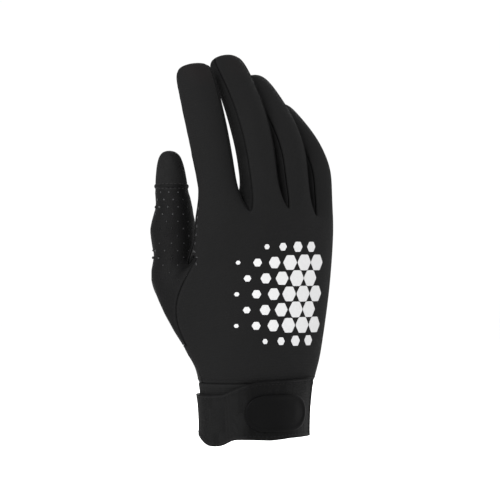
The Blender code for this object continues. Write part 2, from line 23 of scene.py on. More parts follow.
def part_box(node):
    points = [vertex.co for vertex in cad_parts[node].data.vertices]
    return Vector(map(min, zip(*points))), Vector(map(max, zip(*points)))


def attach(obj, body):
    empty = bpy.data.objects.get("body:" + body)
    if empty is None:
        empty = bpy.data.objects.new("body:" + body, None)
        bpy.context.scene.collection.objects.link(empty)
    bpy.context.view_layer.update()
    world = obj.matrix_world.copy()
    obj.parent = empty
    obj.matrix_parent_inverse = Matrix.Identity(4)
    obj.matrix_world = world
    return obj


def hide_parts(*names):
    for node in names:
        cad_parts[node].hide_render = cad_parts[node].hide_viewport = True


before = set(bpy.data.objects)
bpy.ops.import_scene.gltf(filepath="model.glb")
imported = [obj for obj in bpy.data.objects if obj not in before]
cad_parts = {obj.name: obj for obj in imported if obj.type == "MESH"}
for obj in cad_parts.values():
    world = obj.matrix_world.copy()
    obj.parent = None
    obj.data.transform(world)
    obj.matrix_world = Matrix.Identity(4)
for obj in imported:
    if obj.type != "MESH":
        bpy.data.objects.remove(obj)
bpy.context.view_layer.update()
LOG = logging.getLogger("glove")

BODY = "root"
CLOTH_UV = "cloth"
SEAM_DISTANCE = "seam_distance"
MERGE_DISTANCE = 2e-6
CORNER_ANGLE = math.radians(125.0)
UP = Vector((0.0, 0.0, 1.0))

# How triangles are joined to quads again, how flat pieces are packed, and how far a seam is felt
JOIN_BEND = math.radians(60.0)
JOIN_SKEW = math.radians(80.0)
MAP_MARGIN = 0.002
SEAM_REACH = 0.02
NO_SEAM = 1.0

# The photograph's frame: its side in pixels, the real size of a pixel at the glove, and where it looks
PHOTO_SIDE = 500
PIXEL = 0.00058
PHOTO_MIDDLE = (255.8, 436.5)
CAMERA_AZIMUTH = math.radians(-33.0)
CAMERA_DISTANCE = 1.30
SENSOR_WIDTH = 36.0

# The browned fingertips, index and middle, with their heights from the top of the back
BROWNED_TIPS = ((-0.034, 0.004, -0.008), (-0.008, 0.002, 0.0))

# The shared patterns: the share of each layer, and where a value starts and ends with the shades there
LOOP_WAVE = 0.35
LOOP_SHADES = (0.1, 0.9, 0.82, 1.06)
GRAIN_SHADES = (0.25, 0.75, 0.86, 1.08)
FLECK_SHADES = (0.3, 0.7, 0.97, 1.03)
TWIST_SHADES = (0.0, 1.0, 0.8, 1.1)
PORE_EDGE = 0.22
COARSE_GRAIN = 0.4
BROAD_SHARE = 0.65
FINE_SCALE = 7.0
# Painted shade at the bottom of a seam's groove, and where the paler rubbed band beside it starts
GROOVE_SHADE = 0.70
GROOVE_RIM = 0.6
SHADE_SPAN = (0.7, 1.3)
ROUGH_PLAY = 0.06

# Stitches, and the level that fine wrinkles swing about
STITCH_SIDES = 6
STITCH_RINGS = 5
STITCH_RISE = 0.5
SHORTEST_STRETCH = 6
WRINKLE_MEAN = 0.4


class Wall(IntEnum):
    """The sides of a cut piece, which are also its material slots."""

    OUTER = 0
    INNER = 1
    EDGE = 2
    HOLE = 3


# Node trees

class NodeSheet:
    """A node tree with short ways to add and join its nodes."""

    def __init__(self, tree: bpy.types.NodeTree) -> None:
        """Starts from an emptied tree."""
        self.tree = tree
        tree.nodes.clear()

    def add(self, kind: str, **settings: object) -> bpy.types.Node:
        """Adds one node.

        Args:
            kind: The node's type name.
            **settings: Properties to set on it.

        Returns:
            The new node.
        """
        node = self.tree.nodes.new(kind)
        for name, value in settings.items():
            setattr(node, name, value)
        return node

    def feed(self, socket: bpy.types.NodeSocket, value: object) -> None:
        """Links a socket to an input, or sets the input's value.

        Args:
            socket: The input.
            value: An output socket or a plain value.
        """
        if isinstance(value, bpy.types.NodeSocket):
            self.tree.links.new(value, socket)
        elif socket.type == "RGBA":
            socket.default_value = (*value, 1.0)
        else:
            socket.default_value = value

    def math(self, operation: str, *values: object, clamp: bool = False) -> bpy.types.NodeSocket:
        """A Math node.

        Args:
            operation: What it does.
            *values: Its inputs, in order.
            clamp: Whether its result stays between 0 and 1.

        Returns:
            Its result.
        """
        node = self.add("ShaderNodeMath", operation=operation, use_clamp=clamp)
        for socket, value in zip(node.inputs, values):
            self.feed(socket, value)
        return node.outputs[0]

    def ramp(self, value: object, low: float, high: float, start: float = 0.0,
             end: float = 1.0) -> bpy.types.NodeSocket:
        """A smooth step of a value.

        Args:
            value: What is read.
            low: Where the step starts.
            high: Where it ends.
            start: The result below it.
            end: The result above it.

        Returns:
            The stepped value.
        """
        node = self.add("ShaderNodeMapRange", interpolation_type="SMOOTHSTEP")
        for socket, given in zip(node.inputs, (value, low, high, start, end)):
            self.feed(socket, given)
        return node.outputs[0]

    def blend(self, share: object, first: object, second: object) -> bpy.types.NodeSocket:
        """Mixes two colours.

        Args:
            share: How much of the second.
            first: One colour.
            second: The other.

        Returns:
            The mixed colour.
        """
        node = self.add("ShaderNodeMix", data_type="RGBA")
        for socket, value in zip((node.inputs[0], node.inputs[6], node.inputs[7]), (share, first, second)):
            self.feed(socket, value)
        return node.outputs[2]

    def noise(self, vector: object, scale: object, detail: float, roughness: float) -> bpy.types.NodeSocket:
        """A noise texture's value.

        Args:
            vector: Where it is read.
            scale: How fine it is.
            detail: How many finer layers it has.
            roughness: How strong they are.

        Returns:
            The noise, from 0 to 1.
        """
        node = self.add("ShaderNodeTexNoise")
        self.feed(node.inputs["Vector"], vector)
        self.feed(node.inputs["Scale"], scale)
        node.inputs["Detail"].default_value = detail
        node.inputs["Roughness"].default_value = roughness
        return node.outputs[0]


def start_group(name: str, inputs: dict[str, float | None], outputs: Sequence[str]
                ) -> tuple[NodeSheet, bpy.types.NodeOutputs, bpy.types.NodeInputs]:
    """Starts a shader node group with named sockets.

    Args:
        name: The group's name.
        inputs: Each input's name and first value; None makes it a vector.
        outputs: The names of its values.

    Returns:
        The group's sheet, its inputs and its outputs by name.
    """
    tree = bpy.data.node_groups.new(name, "ShaderNodeTree")
    for label, value in inputs.items():
        kind = "NodeSocketVector" if value is None else "NodeSocketFloat"
        socket = tree.interface.new_socket(name=label, in_out="INPUT", socket_type=kind)
        if value is not None:
            socket.default_value = value
    for label in outputs:
        tree.interface.new_socket(name=label, in_out="OUTPUT", socket_type="NodeSocketFloat")
    sheet = NodeSheet(tree)
    source = sheet.add("NodeGroupInput")
    sink = sheet.add("NodeGroupOutput")
    return sheet, source.outputs, sink.inputs


def build_knit_group() -> bpy.types.NodeTree:
    """The loops of a knit in the cloth's own plane.

    Returns:
        The group, with Vector, Pitch and Slant in, and Height and Shade out.
    """
    sheet, given, out = start_group(
        "Knit loops", {"Vector": None, "Pitch": 0.0009, "Slant": 0.8}, ("Height", "Shade"))
    split = sheet.add("ShaderNodeSeparateXYZ")
    sheet.feed(split.inputs[0], given["Vector"])
    column = sheet.math("DIVIDE", split.outputs[0], given["Pitch"])
    row = sheet.math("DIVIDE", split.outputs[1], given["Pitch"])
    inside = sheet.math("PINGPONG", column, 0.5)
    leaning = sheet.math("MULTIPLY_ADD", inside, given["Slant"], row)
    across = sheet.math("SINE", sheet.math("MULTIPLY", inside, math.tau))
    along = sheet.math("SINE", sheet.math("MULTIPLY", leaning, math.tau))
    lifted = sheet.math("MULTIPLY_ADD", along, LOOP_WAVE, 1.0 - LOOP_WAVE)
    height = sheet.math("MULTIPLY", across, lifted)
    sheet.feed(out["Height"], height)
    sheet.feed(out["Shade"], sheet.ramp(height, *LOOP_SHADES))
    return sheet.tree


def build_grain_group() -> bpy.types.NodeTree:
    """The fine creased grain of thin leather.

    Returns:
        The group, with Vector and Scale in, and Height and Shade out.
    """
    sheet, given, out = start_group("Leather grain", {"Vector": None, "Scale": 900.0}, ("Height", "Shade"))
    cells = sheet.add("ShaderNodeTexVoronoi", feature="DISTANCE_TO_EDGE")
    sheet.feed(cells.inputs["Vector"], given["Vector"])
    sheet.feed(cells.inputs["Scale"], given["Scale"])
    pores = sheet.ramp(cells.outputs[0], 0.0, PORE_EDGE)
    rough = sheet.noise(given["Vector"], sheet.math("MULTIPLY", given["Scale"], COARSE_GRAIN), 4.0, 0.6)
    height = sheet.math("MULTIPLY_ADD", rough, 0.5, sheet.math("MULTIPLY", pores, 0.5))
    sheet.feed(out["Height"], height)
    sheet.feed(out["Shade"], sheet.ramp(height, *GRAIN_SHADES))
    return sheet.tree


def build_mottle_group() -> bpy.types.NodeTree:
    """Broad unevenness of tone, from handling and from the stretch of the cloth.

    Returns:
        The group, with Vector, Scale and Amount in, and Shade out.
    """
    sheet, given, out = start_group("Mottle", {"Vector": None, "Scale": 60.0, "Amount": 0.12}, ("Shade",))
    broad = sheet.noise(given["Vector"], given["Scale"], 2.0, 0.5)
    fine = sheet.noise(given["Vector"], sheet.math("MULTIPLY", given["Scale"], FINE_SCALE), 3.0, 0.6)
    both = sheet.math("ADD", sheet.math("MULTIPLY", broad, BROAD_SHARE),
                      sheet.math("MULTIPLY", fine, 1.0 - BROAD_SHARE))
    centred = sheet.math("MULTIPLY", sheet.math("SUBTRACT", both, 0.5), given["Amount"])
    sheet.feed(out["Shade"], sheet.math("MULTIPLY_ADD", centred, 2.0, 1.0))
    return sheet.tree


def build_seam_shade_and_wear_group() -> bpy.types.NodeTree:
    """The painted shade in a sewn edge's groove, and the paler rubbed wear just beside it.

    Returns:
        The group, with Distance, Groove, Rub and Wear in, and Shade out.
    """
    sheet, given, out = start_group(
        "Seam shade and wear", {"Distance": 0.01, "Groove": 0.0008, "Rub": 0.0022, "Wear": 0.12}, ("Shade",))
    # Painted shade: the colour darkens towards the bottom of the seam's groove
    painted_groove_shade = sheet.ramp(given["Distance"], 0.0, given["Groove"], GROOVE_SHADE, 1.0)
    rise = sheet.ramp(given["Distance"], sheet.math("MULTIPLY", given["Groove"], GROOVE_RIM), given["Groove"])
    fall = sheet.ramp(given["Distance"], given["Groove"], given["Rub"], 1.0, 0.0)
    rubbed = sheet.math("MULTIPLY", sheet.math("MULTIPLY", rise, fall), given["Wear"])
    sheet.feed(out["Shade"], sheet.math("ADD", painted_groove_shade, rubbed))
    return sheet.tree


class Effects:
    """The shader node groups that the finishes share, each built once."""

    def __init__(self) -> None:
        """Builds every group."""
        self.knit = build_knit_group()
        self.grain = build_grain_group()
        self.mottle = build_mottle_group()
        self.seam = build_seam_shade_and_wear_group()


def use_group(sheet: NodeSheet, group: bpy.types.NodeTree, **values: object) -> bpy.types.NodeOutputs:
    """Places a shared group in a material.

    Args:
        sheet: The material's sheet.
        group: The group.
        **values: Its inputs by name.

    Returns:
        The group node's outputs.
    """
    node = sheet.add("ShaderNodeGroup", node_tree=group)
    for name, value in values.items():
        sheet.feed(node.inputs[name], value)
    return node.outputs


# Finishes

Colour = tuple[float, float, float]


class Look(NamedTuple):
    """What sets a finish apart: its colour, the shades over it, its fine relief and how sleek it is."""

    colour: object
    shades: Sequence[object]
    height: object
    sleek: object = 0.0


@dataclass(frozen=True)
class Finish:
    """What every finish of the glove has: a colour, a gloss, a relief and an uneven tone."""

    name: str
    colour: Colour
    roughness: float
    gloss: float
    relief: float
    effects: Effects = field(repr=False)
    mottle: float = 0.10
    mottle_scale: float = 45.0
    wear: float = 0.10

    def build(self) -> bpy.types.Material:
        """Builds the finish, with its colour darkened or lightened by each shade.

        Returns:
            The material.
        """
        made = bpy.data.materials.new(self.name)
        made.use_nodes = True
        sheet = NodeSheet(made.node_tree)
        shader = sheet.add("ShaderNodeBsdfPrincipled")
        shader.inputs["Specular IOR Level"].default_value = self.gloss
        out = sheet.add("ShaderNodeOutputMaterial")
        sheet.feed(out.inputs[0], shader.outputs[0])
        look = self.look(sheet, sheet.add("ShaderNodeTexCoord").outputs["Object"])
        factor = look.shades[0]
        for other in look.shades[1:]:
            factor = sheet.math("MULTIPLY", factor, other)
        tinted = sheet.add("ShaderNodeVectorMath", operation="SCALE")
        sheet.feed(tinted.inputs[0], look.colour)
        sheet.feed(tinted.inputs["Scale"], factor)
        sheet.feed(shader.inputs["Base Color"], tinted.outputs[0])
        rough = sheet.ramp(factor, *SHADE_SPAN, self.roughness + ROUGH_PLAY, self.roughness - ROUGH_PLAY)
        sheet.feed(shader.inputs["Roughness"], sheet.math("SUBTRACT", rough, look.sleek))
        bump = sheet.add("ShaderNodeBump")
        bump.inputs["Distance"].default_value = self.relief
        bump.inputs["Strength"].default_value = 1.0
        sheet.feed(bump.inputs["Height"], look.height)
        sheet.feed(shader.inputs["Normal"], bump.outputs[0])
        return made

    def look(self, sheet: NodeSheet, place: bpy.types.NodeSocket) -> Look:
        """The pattern, which each kind of finish gives for a sheet and a place in the glove's frame."""
        raise NotImplementedError

    def tone(self, sheet: NodeSheet, place: bpy.types.NodeSocket) -> bpy.types.NodeSocket:
        """The broad unevenness of its colour, from place to place."""
        return use_group(sheet, self.effects.mottle, Vector=place, Scale=self.mottle_scale,
                         Amount=self.mottle)["Shade"]

    def seam(self, sheet: NodeSheet) -> bpy.types.NodeSocket:
        """The painted shade in its seam's groove, and how it rubs pale just beside it."""
        distance = sheet.add("ShaderNodeAttribute", attribute_name=SEAM_DISTANCE).outputs["Fac"]
        return use_group(sheet, self.effects.seam, Distance=distance, Wear=self.wear)["Shade"]


@dataclass(frozen=True)
class KnitFinish(Finish):
    """A fine stretch knit, with soft tone changes and painted shade in its seams' grooves."""

    pitch: float = 0.0009
    slant: float = 0.8
    fuzz: float = 0.35
    fuzz_scale: float = 2600.0
    tips: tuple[Vector, ...] = ()
    tip_reach: float = 0.016
    tip_core: float = 0.35
    tip_colour: Colour = (0.0076, 0.0068, 0.0069)
    coated: tuple[float, float] | None = None
    coat_front: tuple[float, float] = (-0.004, 0.0)
    coat_sleek: float = 0.22
    coat_colour: Colour = (0.0014, 0.0014, 0.0015)

    def look(self, sheet: NodeSheet, place: bpy.types.NodeSocket) -> Look:
        """The knit's loops, browned at the fingertips and coated over part of the strap.

        Args:
            sheet: The material's sheet.
            place: The place in the glove's frame.

        Returns:
            The look.
        """
        cloth = sheet.add("ShaderNodeUVMap", uv_map=CLOTH_UV).outputs[0]
        loops = use_group(sheet, self.effects.knit, Vector=cloth, Pitch=self.pitch, Slant=self.slant)
        colour: object = self.colour
        for tip in self.tips:
            away = sheet.add("ShaderNodeVectorMath", operation="DISTANCE")
            sheet.feed(away.inputs[0], place)
            sheet.feed(away.inputs[1], tip)
            core = self.tip_reach * self.tip_core
            near = sheet.ramp(away.outputs["Value"], core, self.tip_reach, 1.0, 0.0)
            colour = sheet.blend(near, colour, self.tip_colour)
        sleek: object = 0.0
        if self.coated:
            split = sheet.add("ShaderNodeSeparateXYZ")
            sheet.feed(split.inputs[0], place)
            over_back = sheet.ramp(split.outputs[1], *self.coat_front, 1.0, 0.0)
            coat = sheet.math("MULTIPLY", sheet.ramp(split.outputs[0], *self.coated), over_back)
            colour = sheet.blend(coat, colour, self.coat_colour)
            sleek = sheet.math("MULTIPLY", coat, self.coat_sleek)
        fuzz = sheet.noise(place, self.fuzz_scale, 2.0, 0.7)
        height = sheet.math("MULTIPLY_ADD", fuzz, self.fuzz, loops["Height"])
        return Look(colour, (loops["Shade"], self.tone(sheet, place), self.seam(sheet)), height, sleek)


@dataclass(frozen=True)
class LeatherFinish(Finish):
    """Thin synthetic leather with a fine creased grain."""

    mottle: float = 0.16
    mottle_scale: float = 70.0
    wear: float = 0.25
    scale: float = 900.0

    def look(self, sheet: NodeSheet, place: bpy.types.NodeSocket) -> Look:
        """The leather's grain, with painted shade in its seams' grooves and wear beside them."""
        grain = use_group(sheet, self.effects.grain, Vector=place, Scale=self.scale)
        return Look(self.colour, (grain["Shade"], self.tone(sheet, place), self.seam(sheet)), grain["Height"])


@dataclass(frozen=True)
class RubberFinish(Finish):
    """Moulded rubber or raised print: smooth, with a fine spark texture and a little handling wear."""

    mottle: float = 0.08
    mottle_scale: float = 90.0
    scale: float = 1500.0

    def look(self, sheet: NodeSheet, place: bpy.types.NodeSocket) -> Look:
        """The rubber's spark texture."""
        spark = sheet.noise(place, self.scale, 2.0, 0.6)
        return Look(self.colour, (self.tone(sheet, place), sheet.ramp(spark, *FLECK_SHADES)), spark)


@dataclass(frozen=True)
class ThreadFinish(Finish):
    """Twisted sewing thread."""

    mottle: float = 0.15
    mottle_scale: float = 200.0
    twist: float = 3000.0

    def look(self, sheet: NodeSheet, place: bpy.types.NodeSocket) -> Look:
        """The thread's twist.

        Args:
            sheet: The material's sheet.
            place: The place in the glove's frame.

        Returns:
            The look.
        """
        waves = sheet.add("ShaderNodeTexWave", bands_direction="DIAGONAL")
        sheet.feed(waves.inputs["Vector"], place)
        waves.inputs["Scale"].default_value = self.twist
        lay = sheet.ramp(waves.outputs["Fac"], *TWIST_SHADES)
        return Look(self.colour, (lay, self.tone(sheet, place)), waves.outputs["Fac"])


class Wardrobe:
    """Every finish of the glove, built once."""

    def __init__(self, tips: tuple[Vector, ...]) -> None:
        """Builds the finishes.

        Args:
            tips: Where the browned fingertips are.
        """
        effects = Effects()

        def make(kind: type[Finish], name: str, colour: Colour, *surface: float,
                 **more: object) -> bpy.types.Material:
            """Builds one finish from its colour, roughness, gloss and relief."""
            return kind(f"{name}_finish", colour, *surface, effects, **more).build()

        self.back = make(KnitFinish, "back_knit", (0.0064, 0.0064, 0.0065), 0.80, 0.055, 0.00008, tips=tips)
        # The strips between the fingers: their darker colour is partly their own tone and partly painted
        # shade between the fingers
        self.side = make(KnitFinish, "side_knit", (0.0058, 0.0058, 0.0059), 0.84, 0.045, 0.00008,
                         pitch=0.0008)
        self.cap = make(KnitFinish, "thumb_cap", (0.0078, 0.0078, 0.0079), 0.78, 0.055, 0.00005,
                        pitch=0.0007)
        self.cuff = make(KnitFinish, "cuff", (0.0072, 0.0072, 0.0073), 0.80, 0.055, 0.00012, pitch=0.0012)
        self.lining = make(KnitFinish, "inner_side", (0.0090, 0.0090, 0.0092), 0.88, 0.04, 0.00010,
                           pitch=0.0011, slant=0.2, wear=0.0)
        self.leather = make(LeatherFinish, "palm_leather", (0.0024, 0.0024, 0.0025), 0.66, 0.075, 0.00006)
        self.strap = make(KnitFinish, "strap", (0.0056, 0.0056, 0.0057), 0.72, 0.050, 0.00007,
                          pitch=0.0010, slant=0.0, wear=0.30, coated=(-0.023, -0.017))
        self.badge = make(RubberFinish, "badge_rubber", (0.0013, 0.0013, 0.0014), 0.48, 0.040, 0.00003)
        self.print = make(RubberFinish, "back_print", (0.400, 0.400, 0.402), 0.60, 0.15, 0.00002, mottle=0.03)
        self.backing = make(RubberFinish, "pinhole_backing", (0.036, 0.036, 0.037), 0.85, 0.10, 0.00003)
        self.black_thread = make(ThreadFinish, "black_thread", (0.0060, 0.0060, 0.0062), 0.62, 0.08, 0.00004)
        self.grey_thread = make(ThreadFinish, "grey_thread", (0.0200, 0.0200, 0.0202), 0.65, 0.10, 0.00004)
        self.pale_thread = make(ThreadFinish, "pale_thread", (0.045, 0.045, 0.046), 0.65, 0.12, 0.00004)

    def walls(self, outside: bpy.types.Material) -> tuple[bpy.types.Material, ...]:
        """A cut piece's outer wall, inner wall and edge, with the lining inside."""
        return outside, self.lining, outside


# Cut pieces

def cad_quads(node: str) -> bmesh.types.BMesh:
    """A merged copy of a solid, with its triangles joined to quads again.

    Args:
        node: The solid's node.

    Returns:
        The copy.
    """
    bm = bmesh.new()
    bm.from_mesh(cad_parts[node].data)
    bmesh.ops.remove_doubles(bm, verts=bm.verts, dist=MERGE_DISTANCE)
    bmesh.ops.join_triangles(bm, faces=bm.faces, angle_face_threshold=JOIN_BEND,
                             angle_shape_threshold=JOIN_SKEW)
    return bm


def mark_walls(bm: bmesh.types.BMesh, fold: float) -> None:
    """Marks each face of a cut piece as its outer wall, inner wall or edge.

    Args:
        bm: The piece.
        fold: The least angle between a wall and the edge, in radians.
    """
    unseen = set(bm.faces)
    regions = []
    while unseen:
        first = unseen.pop()
        region, queue = [first], [first]
        while queue:
            for edge in queue.pop().edges:
                if edge.calc_face_angle(math.pi) < fold:
                    for face in edge.link_faces:
                        if face in unseen:
                            unseen.discard(face)
                            region.append(face)
                            queue.append(face)
        regions.append(region)
    regions.sort(key=lambda region: -sum(face.calc_area() for face in region))
    for rank, region in enumerate(regions):
        for face in region:
            face.material_index = min(rank, Wall.EDGE)


def close_seams(bm: bmesh.types.BMesh, reach: float) -> None:
    """Draws a piece's edge out across half the seam, so that neighbours meet.

    Args:
        bm: The piece.
        reach: How far.
    """
    moves = []
    for vert in bm.verts:
        ways = [face.normal for face in vert.link_faces if face.material_index == Wall.EDGE]
        if ways:
            moves.append((vert, sum(ways, Vector()).normalized() * reach))
    for vert, move in moves:
        vert.co += move


def firm_edges(bm: bmesh.types.BMesh, strip: float, crease: float) -> None:
    """Creases the outer wall's edge and lays a narrow strip of faces along it, so that rounding keeps it.

    Args:
        bm: The piece.
        strip: The strip's width.
        crease: How sharp the wall's edge stays, from 0 to 1.
    """
    outer = [face for face in bm.faces if face.material_index == Wall.OUTER]
    bmesh.ops.inset_region(bm, faces=outer, thickness=strip, use_boundary=True, use_even_offset=True,
                           use_interpolate=True)
    layer = bm.edges.layers.float.new("crease_edge")
    corner = bm.verts.layers.float.new("crease_vert")
    border = [edge for edge in bm.edges if len({face.material_index for face in edge.link_faces}) > 1]
    for edge in border:
        edge[layer] = crease
    border = set(border)
    for vert in {vert for edge in border for vert in edge.verts}:
        ways = [(edge.other_vert(vert).co - vert.co) for edge in vert.link_edges if edge in border]
        if len(ways) == 2 and ways[0].angle(ways[1], math.pi) < CORNER_ANGLE:
            vert[corner] = 1.0


def unwrap(obj: bpy.types.Object) -> None:
    """Lays a piece's walls flat, as they were cut, in metres and with the map's second axis up the hand.

    Args:
        obj: The piece, linked to the scene.
    """
    mesh = obj.data
    bm = bmesh.new()
    bm.from_mesh(mesh)
    for edge in bm.edges:
        edge.seam = len({face.material_index for face in edge.link_faces}) > 1
    bm.to_mesh(mesh)
    bm.free()
    mesh.uv_layers.new(name=CLOTH_UV)
    bpy.context.view_layer.objects.active = obj
    obj.select_set(True)
    bpy.ops.object.mode_set(mode="EDIT")
    bpy.ops.mesh.select_all(action="SELECT")
    bpy.ops.uv.unwrap(method="ANGLE_BASED", margin=MAP_MARGIN)
    bpy.ops.object.mode_set(mode="OBJECT")
    obj.select_set(False)
    bm = bmesh.new()
    bm.from_mesh(mesh)
    layer = bm.loops.layers.uv[CLOTH_UV]
    real = flat = 0.0
    slope = Vector((0.0, 0.0))
    for face in bm.faces:
        if face.material_index != Wall.OUTER:
            continue
        corners = [loop[layer].uv for loop in face.loops]
        twice = sum(a.x * b.y - b.x * a.y for a, b in zip(corners, corners[1:] + corners[:1]))
        real += face.calc_area()
        flat += abs(twice) / 2.0
        for loop in face.loops:
            ahead = loop.link_loop_next
            run = ahead[layer].uv - loop[layer].uv
            if run.length > 0.0:
                slope += run / run.length_squared * (ahead.vert.co.z - loop.vert.co.z) * run.length
    scale = math.sqrt(real / flat) if flat > 0.0 else 1.0
    turn = Matrix.Rotation(math.pi / 2.0 - math.atan2(slope.y, slope.x), 2)
    for face in bm.faces:
        for loop in face.loops:
            loop[layer].uv = turn @ loop[layer].uv * scale
    bm.to_mesh(mesh)
    bm.free()


def wrap(obj: bpy.types.Object, radius: float) -> None:
    """Rolls a closed band out flat, in metres, in place of cutting it open.

    Args:
        obj: The band, which stands upright round the glove's own axis.
        radius: The band's rough radius.
    """
    mesh = obj.data
    layer = mesh.uv_layers.new(name=CLOTH_UV)
    for polygon in mesh.polygons:
        middle = math.atan2(polygon.center.x, polygon.center.y)
        for index in polygon.loop_indices:
            place = mesh.vertices[mesh.loops[index].vertex_index].co
            turn = math.remainder(math.atan2(place.x, place.y) - middle, math.tau)
            layer.data[index].uv = ((middle + turn) * radius, place.z)


def rounded(obj: bpy.types.Object, levels: int) -> None:
    """Rounds a piece by subdivision and keeps the result as its mesh.

    Args:
        obj: The piece.
        levels: How often it is divided.
    """
    modifier = obj.modifiers.new("rounding", "SUBSURF")
    modifier.levels = modifier.render_levels = levels
    bpy.context.view_layer.update()
    graph = bpy.context.evaluated_depsgraph_get()
    mesh = bpy.data.meshes.new_from_object(obj.evaluated_get(graph))
    obj.modifiers.clear()
    old = obj.data
    obj.data = mesh
    mesh.name = obj.name
    bpy.data.meshes.remove(old)


def new_object(name: str, bm: bmesh.types.BMesh) -> bpy.types.Object:
    """Writes a bmesh to a new object of the scene.

    Args:
        name: The piece's name.
        bm: Its shape, which is freed.

    Returns:
        The object.
    """
    mesh = bpy.data.meshes.new(name)
    bm.to_mesh(mesh)
    bm.free()
    obj = bpy.data.objects.new(name, mesh)
    bpy.context.scene.collection.objects.link(obj)
    return obj


def finish_piece(obj: bpy.types.Object, materials: Sequence[bpy.types.Material],
                 replaced: Sequence[str] = (), sharp: float = 40.0) -> bpy.types.Object:
    """Shades, dresses and registers a finished piece.

    Args:
        obj: The piece.
        materials: Its materials, in slot order.
        replaced: The solids that it stands for.
        sharp: The angle in degrees past which an edge stays sharp.

    Returns:
        The piece.
    """
    walls = [polygon.material_index for polygon in obj.data.polygons]
    obj.data.materials.clear()
    for material in materials:
        obj.data.materials.append(material)
    obj.data.polygons.foreach_set("material_index", walls)
    obj.data.shade_smooth()
    obj.data.set_sharp_from_angle(angle=math.radians(sharp))
    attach(obj, BODY)
    if replaced:
        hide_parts(*replaced)
    LOG.info("%s: %d faces", obj.name, len(obj.data.polygons))
    return obj


def outer_tree(mesh: bpy.types.Mesh) -> tuple[BVHTree, list[Vector]]:
    """A search tree of a piece's outer wall.

    Args:
        mesh: The piece's mesh.

    Returns:
        The tree and the normals of its faces.
    """
    faces = [p for p in mesh.polygons if p.material_index == Wall.OUTER]
    tree = BVHTree.FromPolygons([v.co for v in mesh.vertices], [p.vertices for p in faces])
    return tree, [p.normal.copy() for p in faces]


def outer_corners(mesh: bpy.types.Mesh) -> set[int]:
    """The numbers of the vertices of a piece's outer wall."""
    return {v for p in mesh.polygons if p.material_index == Wall.OUTER for v in p.vertices}


def move_walls(mesh: bpy.types.Mesh, amount: Callable[[Vector, Vector], float]) -> None:
    """Moves both walls of a piece together, in and out of the outer wall.

    Args:
        mesh: The piece's mesh.
        amount: The move in metres for a place and its outward way.
    """
    outer = outer_corners(mesh)
    tree, _ = outer_tree(mesh)
    moves = []
    for vert in mesh.vertices:
        if vert.index in outer:
            way = vert.normal.copy()
            place = vert.co.copy()
        else:
            place, way, _, _ = tree.find_nearest(vert.co)
        moves.append(way * amount(place, way))
    for vert, move in zip(mesh.vertices, moves):
        vert.co += move


def seam_loops(mesh: bpy.types.Mesh) -> list[list[int]]:
    """The edges of a piece's outer wall.

    Args:
        mesh: The piece's mesh.

    Returns:
        Vertex numbers in order round each edge, longest first.
    """
    touched: dict[tuple[int, int], set[int]] = {}
    for polygon in mesh.polygons:
        for key in polygon.edge_keys:
            touched.setdefault(key, set()).add(polygon.material_index)
    links: dict[int, list[int]] = {}
    for (first, last), walls in touched.items():
        if Wall.OUTER in walls and Wall.EDGE in walls:
            links.setdefault(first, []).append(last)
            links.setdefault(last, []).append(first)
    loops = []
    unseen = set(links)
    while unseen:
        loop = [min(unseen)]
        unseen.discard(loop[0])
        while True:
            ahead = [index for index in links[loop[-1]] if index in unseen]
            if not ahead:
                break
            loop.append(ahead[0])
            unseen.discard(ahead[0])
        loops.append(loop)
    return sorted(loops, key=len, reverse=True)


def write_seam_distance(mesh: bpy.types.Mesh) -> None:
    """Stores how far each vertex is from its piece's sewn edge.

    Args:
        mesh: The piece's mesh.
    """
    edges = [(a, b) for loop in seam_loops(mesh) for a, b in zip(loop, loop[1:] + loop[:1])]
    layer = mesh.attributes.new(SEAM_DISTANCE, "FLOAT", "POINT")
    if not edges:
        layer.data.foreach_set("value", [NO_SEAM] * len(mesh.vertices))
        return
    places = [v.co for v in mesh.vertices]
    tree = BVHTree.FromPolygons(places, [(a, b, b) for a, b in edges])
    found = (tree.find_nearest(vert.co, SEAM_REACH)[3] for vert in mesh.vertices)
    layer.data.foreach_set("value", [SEAM_REACH if away is None else away for away in found])


@dataclass
class CutPiece:
    """One cut piece of the glove, from the solid of the same name."""

    node: str
    slot: str
    levels: int = 2
    fold: float = math.radians(58.0)
    seam_reach: float = 0.00018
    strip: float = 0.0008
    crease: float = 0.35
    edge_rise: float = -0.00028
    edge_width: float = 0.0014
    band: float = 0.0
    swell: Callable[[Vector, Vector], float] | None = None
    punch: Callable[[bpy.types.Object], None] | None = None

    def build(self, materials: Sequence[bpy.types.Material]) -> bpy.types.Object:
        """Copies, unwraps, rounds and folds the piece.

        Args:
            materials: For its outer wall, inner wall and edge.

        Returns:
            The piece.
        """
        bm = cad_quads(self.node)
        mark_walls(bm, self.fold)
        close_seams(bm, self.seam_reach)
        firm_edges(bm, self.strip, self.crease)
        obj = new_object(self.node + "_sewn", bm)
        if self.band:
            wrap(obj, self.band)
        else:
            unwrap(obj)
        rounded(obj, self.levels - 1)
        if self.punch:
            self.punch(obj)
        rounded(obj, 1)
        write_seam_distance(obj.data)
        self.shape_edge(obj.data)
        if self.swell:
            move_walls(obj.data, self.swell)
        return finish_piece(obj, materials, (self.node,), sharp=180.0)

    def shape_edge(self, mesh: bpy.types.Mesh) -> None:
        """Rolls the outer wall in beside its seams, or raises it as a binding does.

        Args:
            mesh: The piece's mesh.
        """
        distances = mesh.attributes[SEAM_DISTANCE].data
        outer = outer_corners(mesh)
        ways = [vert.normal.copy() for vert in mesh.vertices]
        for index in outer:
            share = max(0.0, 1.0 - distances[index].value / self.edge_width)
            mesh.vertices[index].co += ways[index] * self.edge_rise * share * share * (3.0 - 2.0 * share)


